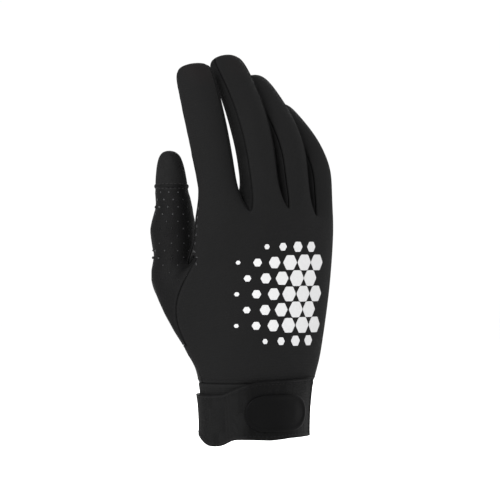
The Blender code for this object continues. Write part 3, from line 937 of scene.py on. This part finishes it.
@dataclass(frozen=True)
class Crease:
    """A soft crease pressed into the cloth along a straight line, with the cloth swollen beside it."""

    start: tuple[float, float, float]
    end: tuple[float, float, float]
    depth: float
    width: float = 0.0022
    swelling: float = 0.45
    beside: float = 2.2
    fading: float = 4.0

    def move(self, place: Vector) -> float:
        """How far it moves a place outwards.

        Args:
            place: A point of the wall.

        Returns:
            The move in metres, below 0 in the crease itself.
        """
        start, end = Vector(self.start), Vector(self.end)
        run = end - start
        share = min(1.0, max(0.0, (place - start).dot(run) / run.length_squared))
        away = (place - start - run * share).length / self.width
        ends = min(1.0, self.fading * share, self.fading * (1.0 - share)) if 0.0 < share < 1.0 else 0.0
        raised = self.swelling * math.exp(-((away - self.beside) ** 2))
        return self.depth * ends * (raised - math.exp(-away * away))


@dataclass(frozen=True)
class Bump:
    """A soft bulge, or below 0 a dip, in the thumb's outer side."""

    height: float
    rise: float
    reach: float = 0.0052

    def move(self, place: Vector) -> float:
        """How far it moves a place outwards, in metres."""
        return self.rise * math.exp(-((place.z - self.height) / self.reach) ** 2)


@dataclass
class Pinholes:
    """The staggered rows of small round holes in the thumb's leather, punched before it was sewn."""

    columns: int = 11
    slant: float = 0.03
    row: float = 0.0042
    radius: float = 0.00042
    depth: float = 0.00026
    lip: float = 0.14
    lip_dip: float = 0.2
    wall: float = 0.06
    low: float = 0.089
    high: float = 0.1415
    margin: float = 0.0022

    def punch(self, obj: bpy.types.Object) -> None:
        """Punches the holes in even, staggered rows round the thumb.

        Args:
            obj: One half of the thumb's leather.
        """
        mesh = obj.data
        write_seam_distance(mesh)
        bm = bmesh.new()
        bm.from_mesh(mesh)
        sites = self.sites(bm, bm.verts.layers.float[SEAM_DISTANCE])
        for vert, spot in sites.items():
            vert.co = spot
        bm.normal_update()
        middles = [(vert.co.copy(), vert.normal.copy()) for vert in sites]
        made = bmesh.ops.bevel(bm, geom=list(sites), offset=self.radius, offset_type="OFFSET", segments=1,
                               profile=0.5, affect="VERTICES", material=-1)
        for face in made["faces"]:
            face.material_index = Wall.HOLE
        rims = {edge for face in made["faces"] for edge in face.edges}
        bmesh.ops.subdivide_edges(bm, edges=list(rims), cuts=1)
        floors = [face for face in bm.faces if face.material_index == Wall.HOLE]
        for floor in floors:
            centre = floor.calc_center_median()
            middle, way = min(middles, key=lambda pair: (pair[0] - centre).length)
            for corner in floor.verts:
                spoke = corner.co - middle
                spoke -= way * spoke.dot(way)
                corner.co = middle + spoke.normalized() * self.radius
        lip = bmesh.ops.inset_individual(bm, faces=floors, thickness=self.radius * self.lip,
                                         depth=-self.depth * self.lip_dip)
        for face in lip["faces"]:
            face.material_index = Wall.OUTER
        bmesh.ops.inset_individual(bm, faces=floors, thickness=self.radius * self.wall, depth=-self.depth)
        bm.to_mesh(mesh)
        bm.free()
        mesh.attributes.remove(mesh.attributes[SEAM_DISTANCE])
        LOG.info("%s: %d pinholes", obj.name, len(floors))

    def sites(self, bm: bmesh.types.BMesh,
              distance: bmesh.types.BMLayerItem) -> dict[bmesh.types.BMVert, Vector]:
        """Finds the corner of the leather's faces that each hole takes.

        Args:
            bm: The leather.
            distance: The layer with each vertex's way to the seam.

        Returns:
            For each such corner, the place that it moves to.
        """
        faces = [face for face in bm.faces if face.material_index == Wall.OUTER]
        tree = BVHTree.FromPolygons([vert.co for vert in bm.verts],
                                    [[vert.index for vert in face.verts] for face in faces])
        low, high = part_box("thumb_cap")
        middle = (low + high) / 2.0
        found = {}
        for row in range(round((self.high - self.low) / self.row) + 1):
            for column in range(self.columns):
                turn = math.tau * (column + 0.5 * (row % 2) - self.slant * row) / self.columns
                start = Vector((middle.x, middle.y, self.high - row * self.row))
                spot, _, index, _ = tree.ray_cast(start, Vector((math.cos(turn), math.sin(turn), 0.0)))
                if spot is None:
                    continue
                vert = min(faces[index].verts, key=lambda corner: (corner.co - spot).length)
                whole = all(face.material_index == Wall.OUTER for face in vert.link_faces)
                if whole and vert[distance] > self.margin:
                    found[vert] = spot
        return found


# Stitches

@dataclass(frozen=True)
class Thread:
    """A row of stitches: how long and how far apart they are, how thick, and how far in from the edge."""

    length: float
    pitch: float
    radius: float
    inset: float

    def row(self, mesh: bpy.types.Mesh, loop: Sequence[int],
            keep: Callable[[Vector], bool]) -> list[list[Vector]]:
        """Lays the row's line on a piece, beside one of its edges.

        Args:
            mesh: The piece's mesh.
            loop: The edge's vertices in order.
            keep: Says whether the row runs at a place.

        Returns:
            Stretches of the line, each a list of places and outward ways in turn.
        """
        tree, normals = outer_tree(mesh)
        places = [mesh.vertices[index].co for index in loop]
        stretches: list[list[Vector]] = [[]]
        count = len(places)
        for k, place in enumerate(places):
            along = (places[(k + 2) % count] - places[k - 2]).normalized()
            _, _, face, _ = tree.find_nearest(place)
            across = normals[face].cross(along).normalized()
            tries = [tree.find_nearest(place + across * self.inset * sign) for sign in (1.0, -1.0)]
            found = min(tries, key=lambda hit: hit[3])
            if keep(place):
                stretches[-1] += [found[0], found[1]]
            elif stretches[-1]:
                stretches.append([])
        return [stretch for stretch in stretches if len(stretch) > SHORTEST_STRETCH]

    def sew(self, bm: bmesh.types.BMesh, stretch: Sequence[Vector]) -> None:
        """Adds one stitch after another along a stretch.

        Args:
            bm: Where the stitches go.
            stretch: Places and outward ways in turn.
        """
        places, ways = stretch[0::2], stretch[1::2]
        due = 0.0
        for start, end, way in zip(places, places[1:], ways):
            run = (end - start).length
            while due < run:
                middle = start.lerp(end, due / run)
                self.stitch(bm, middle + way * self.radius * STITCH_RISE, (end - start).normalized(), way)
                due += self.pitch
            due -= run

    def stitch(self, bm: bmesh.types.BMesh, middle: Vector, along: Vector, way: Vector) -> None:
        """Adds one stitch.

        Args:
            bm: Where it goes.
            middle: Its middle.
            along: The way it runs.
            way: Out of the cloth.
        """
        side = along.cross(way).normalized()
        out = side.cross(along).normalized()
        turn = Matrix((side, out, along)).transposed().to_4x4()
        size = Matrix.Diagonal((self.radius, self.radius, self.length / 2.0, 1.0))
        bmesh.ops.create_uvsphere(bm, u_segments=STITCH_SIDES, v_segments=STITCH_RINGS, radius=1.0,
                                  matrix=Matrix.Translation(middle) @ turn @ size)


class Row(NamedTuple):
    """Stitches to sew: their thread, their piece, how many of its edges they follow, and where."""

    thread: Thread
    piece: bpy.types.Object
    edges: int
    keep: Callable[[Vector], bool]


def sew_rows(name: str, rows: Sequence[Row], finish: bpy.types.Material) -> None:
    """Sews rows of stitches as one piece.

    Args:
        name: The piece's name.
        rows: The rows, in order.
        finish: The thread's finish.
    """
    bm = bmesh.new()
    for row in rows:
        mesh = row.piece.data
        for loop in seam_loops(mesh)[:row.edges]:
            for stretch in row.thread.row(mesh, loop, row.keep):
                row.thread.sew(bm, stretch)
    finish_piece(new_object(name, bm), (finish,))


# Sub-assemblies

@dataclass
class Studio:
    """The pale floor, the soft lights and the camera."""

    floor_drop: float = 0.085
    floor_side: float = 8.0
    floor_tone: float = 0.985
    floor_roughness: float = 0.9
    aim: tuple[float, float, float] = (0.0, 0.0, 0.11)
    key_power: float = 44.0
    fill_power: float = 5.0
    edge_power: float = 4.0
    palm_power: float = 26.0
    world_level: float = 1.02

    def build(self) -> None:
        """Builds all of it."""
        self.camera()
        self.floor()
        self.world()
        self.light("key_light", Vector((-1.5, -0.75, 1.0)), 0.9, self.key_power)
        self.light("fill_light", Vector((0.1, -1.6, 0.5)), 0.9, self.fill_power)
        self.light("edge_light", Vector((1.3, -0.25, 0.25)), 0.6, self.edge_power)
        self.light("palm_light", Vector((0.9, 1.5, 0.9)), 0.9, self.palm_power)

    def camera(self) -> None:
        """Puts the camera where the photograph was taken from."""
        out = Vector((math.sin(CAMERA_AZIMUTH), -math.cos(CAMERA_AZIMUTH), 0.0))
        right = Vector((math.cos(CAMERA_AZIMUTH), math.sin(CAMERA_AZIMUTH), 0.0))
        half = PHOTO_SIDE / 2.0
        aim = right * (half - PHOTO_MIDDLE[0]) * PIXEL + UP * (PHOTO_MIDDLE[1] - half) * PIXEL
        lens = bpy.data.cameras.new("photo_camera")
        lens.sensor_width = SENSOR_WIDTH
        lens.sensor_fit = "HORIZONTAL"
        lens.lens = lens.sensor_width * CAMERA_DISTANCE / (PHOTO_SIDE * PIXEL)
        camera = bpy.data.objects.new("photo_camera", lens)
        camera.matrix_world = Matrix.Translation(aim + out * CAMERA_DISTANCE) @ (-out).to_track_quat(
            "-Z", "Y").to_matrix().to_4x4()
        bpy.context.scene.collection.objects.link(camera)
        bpy.context.scene.camera = camera

    def floor(self) -> None:
        """Lays a plain pale floor under the glove, clear of it."""
        bm = bmesh.new()
        bmesh.ops.create_grid(bm, x_segments=1, y_segments=1, size=self.floor_side / 2.0,
                              matrix=Matrix.Translation((0.0, 0.0, -self.floor_drop)))
        floor = new_object("floor", bm)
        made = bpy.data.materials.new("floor_finish")
        made.use_nodes = True
        shader = made.node_tree.nodes["Principled BSDF"]
        shader.inputs["Base Color"].default_value = (self.floor_tone, self.floor_tone, self.floor_tone, 1.0)
        shader.inputs["Roughness"].default_value = self.floor_roughness
        floor.data.materials.append(made)

    def world(self) -> None:
        """Surrounds everything with an even white light."""
        made = bpy.data.worlds.new("white_room")
        made.use_nodes = True
        backdrop = made.node_tree.nodes["Background"]
        backdrop.inputs["Color"].default_value = (1.0, 1.0, 1.0, 1.0)
        backdrop.inputs["Strength"].default_value = self.world_level
        bpy.context.scene.world = made
        bpy.context.scene.view_settings.view_transform = "Standard"

    def light(self, name: str, place: Vector, size: float, power: float) -> None:
        """Adds one soft light that faces the glove.

        Args:
            name: Its name.
            place: Where it stands.
            size: Its side.
            power: Its power in watts.
        """
        lamp = bpy.data.lights.new(name, "AREA")
        lamp.energy = power
        lamp.size = size
        light = bpy.data.objects.new(name, lamp)
        facing = (Vector(self.aim) - place).to_track_quat("-Z", "Y").to_matrix().to_4x4()
        light.matrix_world = Matrix.Translation(place) @ facing
        bpy.context.scene.collection.objects.link(light)


@dataclass
class BackPrint:
    """The pale print on the back: a honeycomb of rounded cells that grow towards the little finger."""

    middle: tuple[float, float] = (0.008, 0.083)
    pitch: float = 0.0104
    largest: float = 0.0052
    smallest: float = 0.0012
    fade_start: float = -0.030
    fade_end: float = 0.012
    last_column: float = 0.033
    half_height: float = 0.033
    rise: float = 0.00022
    sunk: float = 0.00012
    rows: int = 5
    columns: int = 6
    growth: float = 0.75
    end_pull: tuple[float, float] = (1.35, 0.35)
    end_fullness: float = 1.25
    end_taper: float = 0.6
    rounding: float = 0.12
    rings: tuple[float, ...] = (0.06, 0.34, 0.34)
    clear: float = 0.1

    def build(self, wardrobe: Wardrobe, back: bpy.types.Object) -> bpy.types.Object:
        """Lays the cells on the back.

        Args:
            wardrobe: The finishes.
            back: The finished back panel.

        Returns:
            The print.
        """
        tree, _ = outer_tree(back.data)
        bm = bmesh.new()
        for row in range(-self.rows, self.rows + 1):
            for column in range(-self.columns, self.columns + 1):
                across = self.middle[0] + (column + 0.5 * (row % 2)) * self.pitch
                up = self.middle[1] + row * self.pitch * math.sin(math.radians(60.0))
                size = self.size_at(across, up)
                if size > self.smallest and across < self.last_column:
                    self.cell(bm, tree, across, up, size)
        return finish_piece(new_object("back_print", bm), (wardrobe.print,))

    def size_at(self, across: float, up: float) -> float:
        """The size of the cell at a place.

        Args:
            across: Its place across the hand.
            up: Its place up the hand.

        Returns:
            The radius of its corners.
        """
        share = min(1.0, max(0.0, (across - self.fade_start) / (self.fade_end - self.fade_start)))
        height = abs(up - self.middle[1]) / self.half_height
        tall = max(0.0, 1.0 - height * height * (self.end_pull[0] - self.end_pull[1] * share))
        return self.largest * share ** self.growth * min(1.0, self.end_fullness * tall ** self.end_taper)

    def cell(self, bm: bmesh.types.BMesh, tree: BVHTree, across: float, up: float, size: float) -> None:
        """Adds one cell, draped on the cloth and closed underneath.

        Args:
            bm: Where it goes.
            tree: The cloth's outer wall.
            across: Its middle across the hand.
            up: Its middle up the hand.
            size: The radius of its corners.
        """
        place = Matrix.Translation((across, -self.clear, up)) @ Matrix.Rotation(
            math.pi / 2.0, 4, "X") @ Matrix.Rotation(math.pi / 6.0, 4, "Z")
        corners = bmesh.ops.create_circle(bm, cap_ends=True, segments=6, radius=size, matrix=place)["verts"]
        bmesh.ops.bevel(bm, geom=corners, offset=size * self.rounding, offset_type="OFFSET", segments=2,
                        profile=0.5, affect="VERTICES", material=-1)
        bm.faces.ensure_lookup_table()
        face = bm.faces[-1]
        rim = list(face.verts)
        made = [face]
        for share in self.rings:
            made += bmesh.ops.inset_region(bm, faces=[face], thickness=size * share)["faces"]
        made += bmesh.ops.poke(bm, faces=[face])["faces"]
        verts = {vert for item in made if item.is_valid for vert in item.verts}
        ways = {}
        for vert in verts:
            hit, way, _, _ = tree.ray_cast(vert.co, Vector((0.0, 1.0, 0.0)))
            if hit is None:
                hit, way, _, _ = tree.find_nearest(vert.co)
            ways[vert] = way
            vert.co = hit + way * self.rise
        edges = [edge for edge in {edge for vert in rim for edge in vert.link_edges} if edge.is_boundary]
        skirt = bmesh.ops.extrude_edge_only(bm, edges=edges)["geom"]
        low = [item for item in skirt if isinstance(item, bmesh.types.BMVert)]
        for vert in low:
            _, way, _, _ = tree.find_nearest(vert.co)
            vert.co -= way * (self.rise + self.sunk)
        base = [item for item in skirt if isinstance(item, bmesh.types.BMEdge) and item.is_boundary]
        bmesh.ops.contextual_create(bm, geom=base)


OUT_OF_THUMB = Vector((-0.84, 0.54, 0.0))
THUMB_BUMPS = (Bump(0.134, -0.0006), Bump(0.1195, 0.0013), Bump(0.1045, -0.0014), Bump(0.0900, 0.0006))
THUMB_CREASES = (
    Crease((-0.060, 0.036, 0.118), (-0.028, 0.036, 0.122), 0.0008, 0.0040),
    Crease((-0.060, 0.036, 0.146), (-0.028, 0.034, 0.148), 0.0005, 0.0030),
    Crease((-0.062, 0.034, 0.092), (-0.030, 0.034, 0.100), 0.0008, 0.0045),
)
HAND_CREASES = (
    Crease((-0.040, 0.006, 0.144), (-0.018, 0.010, 0.141), 0.00055),
    Crease((-0.014, 0.004, 0.149), (0.008, 0.006, 0.147), 0.00055),
    Crease((0.010, 0.004, 0.148), (0.029, 0.008, 0.146), 0.00055),
    Crease((0.031, 0.010, 0.140), (0.048, 0.012, 0.137), 0.00050),
    Crease((-0.043, 0.008, 0.166), (-0.020, 0.012, 0.163), 0.00060),
    Crease((-0.017, 0.006, 0.174), (0.005, 0.008, 0.171), 0.00070),
    Crease((0.007, 0.006, 0.171), (0.028, 0.008, 0.169), 0.00075),
    Crease((0.029, 0.008, 0.160), (0.047, 0.010, 0.158), 0.00070),
    Crease((-0.045, 0.014, 0.190), (-0.022, 0.018, 0.187), 0.00050),
    Crease((-0.018, 0.012, 0.200), (0.003, 0.014, 0.198), 0.00055),
    Crease((0.006, 0.018, 0.194), (0.026, 0.020, 0.193), 0.00060),
    Crease((0.026, 0.020, 0.180), (0.045, 0.020, 0.178), 0.00055),
    Crease((-0.038, 0.012, 0.112), (-0.004, 0.012, 0.092), 0.00080, 0.0032),
    Crease((-0.004, 0.012, 0.092), (0.002, 0.020, 0.048), 0.00080, 0.0032),
    Crease((-0.010, 0.008, 0.116), (0.046, 0.010, 0.104), 0.00070, 0.0030),
    Crease((0.000, 0.010, 0.096), (0.046, 0.012, 0.082), 0.00055, 0.0030),
    Crease((-0.030, 0.018, 0.040), (0.004, 0.024, 0.044), 0.00050, 0.0026),
    Crease((0.006, 0.022, 0.042), (0.040, 0.010, 0.046), 0.00050, 0.0026),
)


def stretched(place: Vector, across: float, up: float) -> Vector:
    """A place, scaled by one factor across the hand and by another up it."""
    return Vector((place.x * across, place.y * across, place.z * up))


def wrinkle(place: Vector, across: float, up: float) -> float:
    """The fine wrinkles at a place, above and below 0."""
    return noise.turbulence(stretched(place, across, up), 3, False) - WRINKLE_MEAN


@dataclass
class Hand:
    """The back, the palm and the strips between the fingers."""

    ripple: float = 0.00016
    ripple_scale: tuple[float, float] = (70.0, 35.0)
    creasing: float = 0.00022
    creasing_scale: tuple[float, float] = (60.0, 120.0)
    facing: float = 1.6
    hem: Thread = Thread(0.0020, 0.0026, 0.00020, 0.0018)
    hem_height: float = 0.037
    edge: Thread = Thread(0.0018, 0.0050, 0.00026, 0.0020)
    edge_low: float = 0.100
    edge_high: float = 0.136
    edge_side: float = -0.030

    def swell_back(self, place: Vector, _way: Vector) -> float:
        """How far the faint unevenness of the stretched back moves a place outwards."""
        return noise.noise(stretched(place, *self.ripple_scale)) * self.ripple

    def swell_palm(self, place: Vector, way: Vector) -> float:
        """The creases of the palm where the hand bends, and the fine wrinkles of thin leather.

        Args:
            place: A point of the wall.
            way: Its outward way.

        Returns:
            How far the wall moves outwards.
        """
        facing = max(0.0, min(1.0, way.y * self.facing))
        creases = sum(crease.move(place) for crease in HAND_CREASES)
        return facing * creases + wrinkle(place, *self.creasing_scale) * self.creasing

    def build(self, wardrobe: Wardrobe) -> dict[str, bpy.types.Object]:
        """Builds the pieces.

        Args:
            wardrobe: The finishes.

        Returns:
            Each piece by its solid's name.
        """
        back = CutPiece("back_panel", "back_knit", swell=self.swell_back).build(
            wardrobe.walls(wardrobe.back))
        palm = CutPiece("palm_panel", "palm_leather", swell=self.swell_palm).build(
            wardrobe.walls(wardrobe.leather))
        pieces = {"back_panel": back, "palm_panel": palm}
        for node in ("side_index_middle", "side_middle_ring", "side_ring_little"):
            pieces[node] = CutPiece(node, "side_knit", strip=0.0005, edge_width=0.0008,
                                    edge_rise=-0.00015).build(wardrobe.walls(wardrobe.side))
        pieces["back_print"] = BackPrint().build(wardrobe, back)
        sew_rows("back_edge_stitches", [Row(self.edge, back, 1, self.by_thumb)], wardrobe.pale_thread)
        hems = [Row(self.hem, piece, 1, self.by_wrist) for piece in (back, palm)]
        sew_rows("wrist_seam_stitches", hems, wardrobe.black_thread)
        return pieces

    def by_thumb(self, place: Vector) -> bool:
        """Whether a place of the seam is on the open edge above the thumb."""
        return place.x < self.edge_side and self.edge_low < place.z < self.edge_high

    def by_wrist(self, place: Vector) -> bool:
        """Whether a place of the seam is on the seam to the cuff."""
        return place.z < self.hem_height


@dataclass
class Thumb:
    """The thumb's two leather halves, its cap and its welt."""

    ripple: float = 0.00030
    ripple_scale: tuple[float, float] = (50.0, 130.0)
    welt_fill: float = 0.00060
    edge_rise: float = -0.00014
    pinholes: Pinholes = field(default_factory=Pinholes)
    seam: Thread = Thread(0.0024, 0.0025, 0.00024, 0.0002)
    seam_play: float = 0.001

    def swell(self, place: Vector, way: Vector) -> float:
        """The bulges of the thumb's outer side and the short wrinkles across its leather.

        Args:
            place: A point of the wall.
            way: Its outward way.

        Returns:
            How far the wall moves outwards.
        """
        creases = sum(crease.move(place) for crease in THUMB_CREASES)
        bumps = sum(bump.move(place) for bump in THUMB_BUMPS) * max(0.0, way.dot(OUT_OF_THUMB))
        return creases + bumps + wrinkle(place, *self.ripple_scale) * self.ripple

    def build(self, wardrobe: Wardrobe) -> dict[str, bpy.types.Object]:
        """Builds the pieces.

        Args:
            wardrobe: The finishes.

        Returns:
            Each piece by its solid's name.
        """
        pieces = {}
        leather = (*wardrobe.walls(wardrobe.leather), wardrobe.backing)
        for node in ("thumb_back", "thumb_front"):
            pieces[node] = CutPiece(node, "palm_leather", edge_rise=self.edge_rise, swell=self.swell,
                                    punch=self.pinholes.punch).build(leather)
        pieces["thumb_cap"] = CutPiece("thumb_cap", "thumb_cap_knit", edge_rise=self.edge_rise).build(
            wardrobe.walls(wardrobe.cap))
        bm = cad_quads("thumb_welt")
        for vert in bm.verts:
            vert.co.z += vert.normal.z * self.welt_fill
        obj = new_object("thumb_welt_sewn", bm)
        rounded(obj, 2)
        write_seam_distance(obj.data)
        pieces["thumb_welt"] = finish_piece(obj, (wardrobe.leather,), ("thumb_welt",), 180.0)
        low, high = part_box("thumb_welt")
        rows = [Row(self.seam, pieces[node], 1,
                    lambda place: low.z - self.seam_play < place.z < high.z + self.seam_play)
                for node in ("thumb_back", "thumb_front", "thumb_cap")]
        sew_rows("thumb_seam_stitches", rows, wardrobe.grey_thread)
        return pieces


@dataclass
class Wrist:
    """The knitted cuff, the closing strap over it and the badge."""

    radius: float = 0.030
    ribs: float = 0.00012
    rib_pitch: float = math.radians(4.5)
    binding: Thread = Thread(0.0019, 0.0025, 0.00020, 0.0026)
    hem: Thread = Thread(0.0020, 0.0026, 0.00020, 0.0030)
    hem_height: float = 0.010

    def rib(self, place: Vector, _way: Vector) -> float:
        """How far the upright ribs of the cuff's knit move a place outwards."""
        return math.cos(math.atan2(place.x, place.y) * math.tau / self.rib_pitch) * self.ribs

    def build(self, wardrobe: Wardrobe) -> dict[str, bpy.types.Object]:
        """Builds the pieces.

        Args:
            wardrobe: The finishes.

        Returns:
            Each piece by its solid's name.
        """
        cuff = CutPiece("cuff_band", "cuff_knit", band=self.radius, swell=self.rib).build(
            wardrobe.walls(wardrobe.cuff))
        strap = CutPiece("wrist_strap", "strap_fabric", seam_reach=0.0, edge_rise=0.00022,
                         edge_width=0.0022).build(wardrobe.walls(wardrobe.strap))
        badge = CutPiece("strap_badge", "badge_rubber", seam_reach=0.0, strip=0.0003, edge_rise=0.0,
                         fold=math.radians(50.0)).build((wardrobe.badge,) * 3)
        rows = (Row(self.binding, strap, 2, lambda place: True),
                Row(self.hem, cuff, 2, lambda place: place.z < self.hem_height))
        sew_rows("strap_stitches", rows, wardrobe.black_thread)
        return {"cuff_band": cuff, "wrist_strap": strap, "strap_badge": badge}


def main() -> None:
    """Builds the glove and its studio, and notes each piece."""
    logging.basicConfig(level=logging.INFO, format="%(message)s")
    Studio().build()
    _, back_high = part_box("back_panel")
    tips = tuple(Vector((x, y, back_high.z + z)) for x, y, z in BROWNED_TIPS)
    wardrobe = Wardrobe(tips)
    pieces = {}
    for part in (Hand(), Thumb(), Wrist()):
        pieces.update(part.build(wardrobe))
    LOG.info("%d pieces", len(pieces))


if __name__ == "__main__":
    main()
